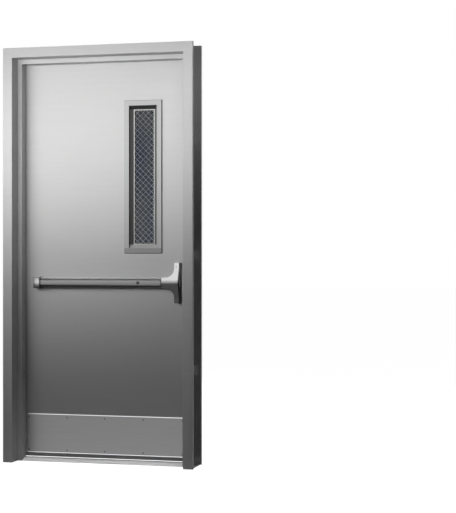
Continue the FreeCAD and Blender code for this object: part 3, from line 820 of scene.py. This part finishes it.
class STEELDOOR_OT_lay_wires(bpy.types.Operator):
    """Lays the diamond wire and the sheet of painted shade inside the glass"""

    bl_idname = "steeldoor.lay_wires"
    bl_label = "Lay Wires in Glass"

    def execute(self, context):
        finishes = context.scene.steeldoor_finishes
        details = context.scene.steeldoor_details
        low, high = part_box("wired_glass")
        middle = (low[1] + high[1]) / 2
        edge = 0.002
        x0, x1 = low[0] + edge, high[0] - edge
        z0, z1 = low[2] + edge, high[2] - edge
        radius = details.wire_radius

        def film(shape):
            half = radius * 0.25
            corners = [
                [shape.verts.new((x, y, z)) for x, z in ((x0, z0), (x1, z0), (x1, z1), (x0, z1))]
                for y in (middle - half, middle + half)
            ]
            front, back = corners
            shape.faces.new(front)
            shape.faces.new(back[::-1])
            for side in range(4):
                after = (side + 1) % 4
                shape.faces.new((front[side], back[side], back[after], front[after]))

        def wires(shape):
            step = details.wire_pitch * math.sqrt(2.0)
            height = z1 - z0
            for lean in (-1, 1):
                base = x0 - height if lean > 0 else x0
                stop = x1 if lean > 0 else x1 + height
                for number in range(int((stop - base) / step) + 1):
                    foot = base + step * (number + 0.5)
                    ends = clipped(foot, lean, x0, x1, z0, z1)
                    if ends:
                        add_wire(shape, ends, middle, radius, lean)

        # A sheet of painted shade inside the pane darkens what is seen through the glass.
        shade_sheet = painted_shade_sheet_material("dark_tint", finishes.glass_tint)
        new_piece("glass_tint", film, shade_sheet, "leaf", smooth=False)
        steel = brushed_material("wire_steel", WIRE_STEEL, (90.0, 90.0, 90.0), low=0.35, high=0.5)
        new_piece("glass_wires", wires, steel, "leaf")
        return {"FINISHED"}


def clipped(foot, lean, x0, x1, z0, z1):
    """The part of a 45 degree line from (foot, z0) that lies inside the pane."""
    shortest = 0.002
    near = max(x0, foot) if lean > 0 else min(x1, foot)
    far = min(x1, foot + (z1 - z0)) if lean > 0 else max(x0, foot - (z1 - z0))
    if (far - near) * lean < shortest:
        return None
    return (near, z0 + abs(near - foot)), (far, z0 + abs(far - foot))


def add_wire(shape, ends, y, radius, lean):
    """One straight wire of six sides between two (x, z) ends."""
    aside = radius * 0.5
    start, end = (Vector((x, y + lean * aside, z)) for x, z in ends)
    along = (end - start).normalized()
    depth = Vector((0.0, 1.0, 0.0))
    across = along.cross(depth)
    sides = 6
    rings = []
    for centre in (start, end):
        ring = []
        for side in range(sides):
            angle = math.tau * side / sides
            offset = across * math.cos(angle) + depth * math.sin(angle)
            ring.append(shape.verts.new(centre + offset * radius))
        rings.append(ring)
    for side in range(sides):
        after = (side + 1) % sides
        shape.faces.new((rings[0][side], rings[1][side], rings[1][after], rings[0][after]))


class STEELDOOR_OT_finish_exit_device(bpy.types.Operator):
    """Finishes the touch bar, its castings and its latch and sets their screws"""

    bl_idname = "steeldoor.finish_exit_device"
    bl_label = "Finish Exit Device"

    def execute(self, context):
        finishes = context.scene.steeldoor_finishes
        details = context.scene.steeldoor_details
        finish_bar(finishes.stainless)
        for name, level, over, reach, shade in CASTINGS:
            casting = cast_material(name + "_silver", levelled(finishes.silver, level))
            # Painted shade on each casting's lower part and on its right-hand side face.
            height = middle_height(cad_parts[name]) + over
            scale_colour(casting, step_field(casting, "Z", height, reach, before=shade, after=1.0))
            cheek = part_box(name)[1][0] - 0.004
            scale_colour(casting, step_field(casting, "X", cheek, 0.002, before=1.0, after=0.4))
            put_material((name,), casting)
        plain = brushed_material("latch_steel", LATCH_STEEL, (50.0, 50.0, 50.0), low=0.35, high=0.5)
        put_material(LATCH_NODES, plain)
        # Painted shade: the key hole's socket is near black and shows no reflection.
        socket_shade = dull_material("socket_steel", SOCKET_PAINTED_SHADE, low=0.6, high=0.8, scale=300.0)
        shader_of(socket_shade).inputs["Specular IOR Level"].default_value = 0.0
        put_material(("dogging_socket",), socket_shade)
        set_case_screws(details.small_screw_radius)
        set_strike_screws(details.small_screw_radius)
        return {"FINISHED"}


def finish_bar(stainless):
    """Brushes the rail and the pad: painted shade darkens them low down and the pad round its key
    hole, and painted light brightens the pad's upper half.
    """
    middle = middle_height(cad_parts["bar_housing"])
    rail = brushed_material(
        "rail_steel", levelled(stainless, RAIL_LEVEL), (1.5, 160.0, 160.0),
        low=0.32, high=0.44, metallic=0.3,
    )
    # Painted shade on the rail's lower half.
    scale_colour(rail, step_field(rail, "Z", middle, 0.012, before=0.09, after=1.0))
    put_material(("bar_housing",), rail)
    pad = brushed_material(
        "pad_steel", levelled(stainless, PAD_LEVEL), (1.5, 200.0, 200.0),
        low=0.30, high=0.42, metallic=0.3,
    )
    # Painted shade on the pad's lower half, painted light on its upper half.
    scale_colour(pad, step_field(pad, "Z", middle, 0.016, before=0.75, after=1.25))
    low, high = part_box("dogging_socket")
    socket = [(a + b) / 2 for a, b in zip(low, high)]
    # Painted shade on the pad round its key hole.
    scale_colour(pad, spot_field(pad, socket, radius=0.008, inside=0.02))
    put_material(("touch_pad",), pad)


def set_case_screws(radius):
    """One screw in each wing of the latch case."""
    low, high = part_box("latch_case_cover")
    side = 0.016
    end = 0.022
    places, normals = [], []
    for z in (low[2] + end, high[2] - end):
        place, normal = skin_at("latch_case_cover", high[0] - side, z)
        places.append(place)
        normals.append(normal)
    screw_group("case_screws", places, normals, radius, "leaf", FLUSH_RISE)


def set_strike_screws(radius):
    """Two screws in the strike's plate, one above its lip and one below."""
    low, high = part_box("rim_strike")
    forward = 0.006
    depth = (low[1] + high[1]) / 2 - forward
    face = high[0] - STRIKE_PLATE
    end = 0.009
    places = [(face, depth, z) for z in (low[2] + end, high[2] - end)]
    screw_group("strike_screws", places, (-1, 0, 0), radius, "frame", FLUSH_RISE)


class STEELDOOR_OT_finish_hinges(bpy.types.Operator):
    """Finishes the hinges and sets four screws in each of their leaves"""

    bl_idname = "steeldoor.finish_hinges"
    bl_label = "Finish Hinges"

    def execute(self, context):
        details = context.scene.steeldoor_details
        steel = brushed_material(
            "hinge_steel", HINGE_STEEL, (50.0, 50.0, 50.0), low=0.32, high=0.46
        )
        for kind, side, body in (("frame_leaf", -1, "frame"), ("door_leaf", 1, "leaf")):
            places = []
            for hinge in HINGES:
                name = "hinge_" + hinge + "_" + kind
                put_material((name,), steel)
                places += hinge_screw_places(name, side)
            screw_group(
                "hinge_screws_" + body, places, (-side, 0, 0), details.screw_radius,
                body, FLUSH_RISE,
            )
        put_material(["hinge_" + hinge + "_pin" for hinge in HINGES], steel)
        return {"FINISHED"}


def hinge_screw_places(name, side):
    """Four staggered screws on the flat part of one hinge leaf."""
    low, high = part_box(name)
    pivot = (low[0] + high[0]) / 2
    end = KNUCKLE_RADIUS * 2
    rows = spaced(low[2] + end, high[2] - end, 4)
    near, far = 0.010, 0.012
    columns = (low[1] + near, low[1] + HINGE_PLATE - far)
    face = pivot + side * HINGE_FACE
    return [(face, columns[number in (1, 2)], z) for number, z in enumerate(rows)]


class STEELDOOR_OT_set_stage(bpy.types.Operator):
    """Sets the floor, the world, the lamps and the camera"""

    bl_idname = "steeldoor.set_stage"
    bl_label = "Set Stage"

    def execute(self, context):
        stage = context.scene.steeldoor_stage
        context.scene.view_settings.view_transform = "Standard"
        low = CAD_BOUNDS[0]
        corner = Vector((low[0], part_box("hinge_jamb")[0][1], low[2]))
        lay_floor(low[2])
        light_world(stage.ambient)
        for name, place, target, size, spread in LAMPS:
            power = getattr(stage, name + "_power")
            hang_lamp(name + "_lamp", corner, place, target, size, power, spread)
        place_camera(context, stage, corner)
        return {"FINISHED"}


def hang_lamp(name, corner, place, target, size, power, spread):
    """A rectangular lamp that shows in no reflection."""
    data = bpy.data.lights.new(name, "AREA")
    data.shape = "RECTANGLE"
    data.size, data.size_y = size
    data.energy = power
    data.spread = spread
    lamp = bpy.data.objects.new(name, data)
    lamp.location = corner + Vector(place)
    aim = Vector(target) - Vector(place)
    lamp.rotation_euler = aim.to_track_quat("-Z", "Y").to_euler()
    lamp.visible_glossy = False
    bpy.context.scene.collection.objects.link(lamp)


def seen_directly(tree):
    """1 for camera, glossy and transmission rays, otherwise 0."""
    path = tree.nodes.new("ShaderNodeLightPath")
    either = tree.nodes.new("ShaderNodeMath")
    either.operation = "MAXIMUM"
    both = tree.nodes.new("ShaderNodeMath")
    both.operation = "MAXIMUM"
    tree.links.new(path.outputs["Is Camera Ray"], either.inputs[0])
    tree.links.new(path.outputs["Is Glossy Ray"], either.inputs[1])
    tree.links.new(either.outputs["Value"], both.inputs[0])
    tree.links.new(path.outputs["Is Transmission Ray"], both.inputs[1])
    return both.outputs["Value"]


def white_background(tree, strength):
    node = tree.nodes.new("ShaderNodeBackground")
    node.inputs["Color"].default_value = WHITE
    node.inputs["Strength"].default_value = strength
    return node.outputs["Background"]


def light_world(ambient):
    """White where it is seen, and dim as a light on dull surfaces."""
    world = bpy.data.worlds.new("studio")
    bpy.context.scene.world = world
    world.use_nodes = True
    tree = world.node_tree
    tree.nodes.clear()
    mix = tree.nodes.new("ShaderNodeMixShader")
    output = tree.nodes.new("ShaderNodeOutputWorld")
    tree.links.new(seen_directly(tree), mix.inputs["Fac"])
    tree.links.new(white_background(tree, ambient), mix.inputs[1])
    tree.links.new(white_background(tree, 1.0), mix.inputs[2])
    tree.links.new(mix.outputs["Shader"], output.inputs["Surface"])


def lay_floor(height):
    """A wide pale floor: white where it is seen, dull where it only throws light back."""
    reach = FLOOR_REACH
    mesh = bpy.data.meshes.new("floor")
    outline = ((-reach, -reach), (reach, -reach), (reach, reach), (-reach, reach))
    mesh.from_pydata([(x, y, height) for x, y in outline], [], [(0, 1, 2, 3)])
    material, tree = bare_material("pale_floor")
    dull = tree.nodes.new("ShaderNodeBsdfDiffuse")
    dull.inputs["Color"].default_value = FLOOR_GREY
    glow = tree.nodes.new("ShaderNodeEmission")
    glow.inputs["Color"].default_value = WHITE
    glow.inputs["Strength"].default_value = FLOOR_GLOW
    both = tree.nodes.new("ShaderNodeAddShader")
    mix = tree.nodes.new("ShaderNodeMixShader")
    output = tree.nodes.new("ShaderNodeOutputMaterial")
    tree.links.new(dull.outputs["BSDF"], both.inputs[0])
    tree.links.new(glow.outputs["Emission"], both.inputs[1])
    tree.links.new(seen_directly(tree), mix.inputs["Fac"])
    tree.links.new(dull.outputs["BSDF"], mix.inputs[1])
    tree.links.new(both.outputs["Shader"], mix.inputs[2])
    tree.links.new(mix.outputs["Shader"], output.inputs["Surface"])
    mesh.materials.append(material)
    floor = bpy.data.objects.new("floor", mesh)
    bpy.context.scene.collection.objects.link(floor)


def place_camera(context, stage, corner):
    data = bpy.data.cameras.new("camera")
    data.sensor_width = 36.0
    data.lens = stage.camera_lens
    data.clip_end = 200.0
    camera = bpy.data.objects.new("camera", data)
    camera.location = corner + Vector(stage.camera_place)
    camera.rotation_euler = (math.pi / 2, 0.0, stage.camera_turn)
    context.scene.collection.objects.link(camera)
    context.scene.camera = camera


class STEELDOOR_PT_panel(bpy.types.Panel):
    """Lists the steps that dress the door"""

    bl_idname = "STEELDOOR_PT_panel"
    bl_label = "Steel Utility Door"
    bl_space_type = "VIEW_3D"
    bl_region_type = "UI"
    bl_category = "Steel Door"

    def draw(self, context):
        scene = context.scene
        for group in (scene.steeldoor_finishes, scene.steeldoor_details, scene.steeldoor_stage):
            box = self.layout.box()
            for name in group.__annotations__:
                box.prop(group, name)
        for operator in OPERATORS:
            self.layout.operator(operator.bl_idname)


OPERATORS = (
    STEELDOOR_OT_finish_frame,
    STEELDOOR_OT_finish_threshold,
    STEELDOOR_OT_finish_leaf,
    STEELDOOR_OT_finish_kick_plate,
    STEELDOOR_OT_finish_lite,
    STEELDOOR_OT_lay_wires,
    STEELDOOR_OT_finish_exit_device,
    STEELDOOR_OT_finish_hinges,
    STEELDOOR_OT_set_stage,
)
CLASSES = (DoorFinishes, DoorDetails, DoorStage) + OPERATORS + (STEELDOOR_PT_panel,)


def register():
    for cls in CLASSES:
        bpy.utils.register_class(cls)
    bpy.types.Scene.steeldoor_finishes = bpy.props.PointerProperty(type=DoorFinishes)
    bpy.types.Scene.steeldoor_details = bpy.props.PointerProperty(type=DoorDetails)
    bpy.types.Scene.steeldoor_stage = bpy.props.PointerProperty(type=DoorStage)


def unregister():
    del bpy.types.Scene.steeldoor_stage
    del bpy.types.Scene.steeldoor_details
    del bpy.types.Scene.steeldoor_finishes
    for cls in reversed(CLASSES):
        bpy.utils.unregister_class(cls)


def plain(bounds):
    return [[float(value) for value in corner] for corner in bounds]


def main():
    register()
    bpy.ops.steeldoor.finish_frame()
    bpy.ops.steeldoor.finish_threshold()
    bpy.ops.steeldoor.finish_leaf()
    bpy.ops.steeldoor.finish_kick_plate()
    bpy.ops.steeldoor.finish_lite()
    bpy.ops.steeldoor.lay_wires()
    bpy.ops.steeldoor.finish_exit_device()
    bpy.ops.steeldoor.finish_hinges()
    bpy.ops.steeldoor.set_stage()


if __name__ == "__main__":
    main()
